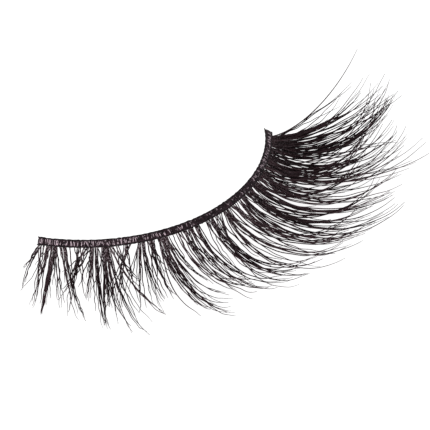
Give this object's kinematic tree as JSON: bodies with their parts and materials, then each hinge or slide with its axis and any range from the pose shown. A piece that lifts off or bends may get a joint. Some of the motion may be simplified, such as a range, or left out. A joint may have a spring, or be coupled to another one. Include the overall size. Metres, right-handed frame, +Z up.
{
  "type": "false eyelash strip",
  "caption": "Curved glue band with tufts of curled lash hair, short at the inner corner and longer and swept at the outer, to stick along an upper eyelid.",
  "frame": {"origin": "on the resting surface, under the middle of the strip's outline", "axes": "+X towards the long outer corner, +Y towards the side where the wearer's eye is, +Z up with the tips curling up"},
  "size_m": [0.0466, 0.0202, 0.0078],
  "materials": {
    "band": "black cotton ribbon, set with dried glue, with lighter purple-grey knots along its face",
    "lash_hair": "black synthetic fibre with a faint sheen"
  },
  "bodies": {
    "root": {"band": "band", "tuft_01": "lash_hair", "tuft_02": "lash_hair", "tuft_03": "lash_hair", "tuft_04": "lash_hair", "tuft_05": "lash_hair", "tuft_06": "lash_hair", "tuft_07": "lash_hair", "tuft_08": "lash_hair", "tuft_09": "lash_hair", "tuft_10": "lash_hair", "tuft_11": "lash_hair", "tuft_12": "lash_hair", "tuft_13": "lash_hair", "tuft_14": "lash_hair", "tuft_15": "lash_hair", "tuft_16": "lash_hair"}
  },
  "joints": []
}
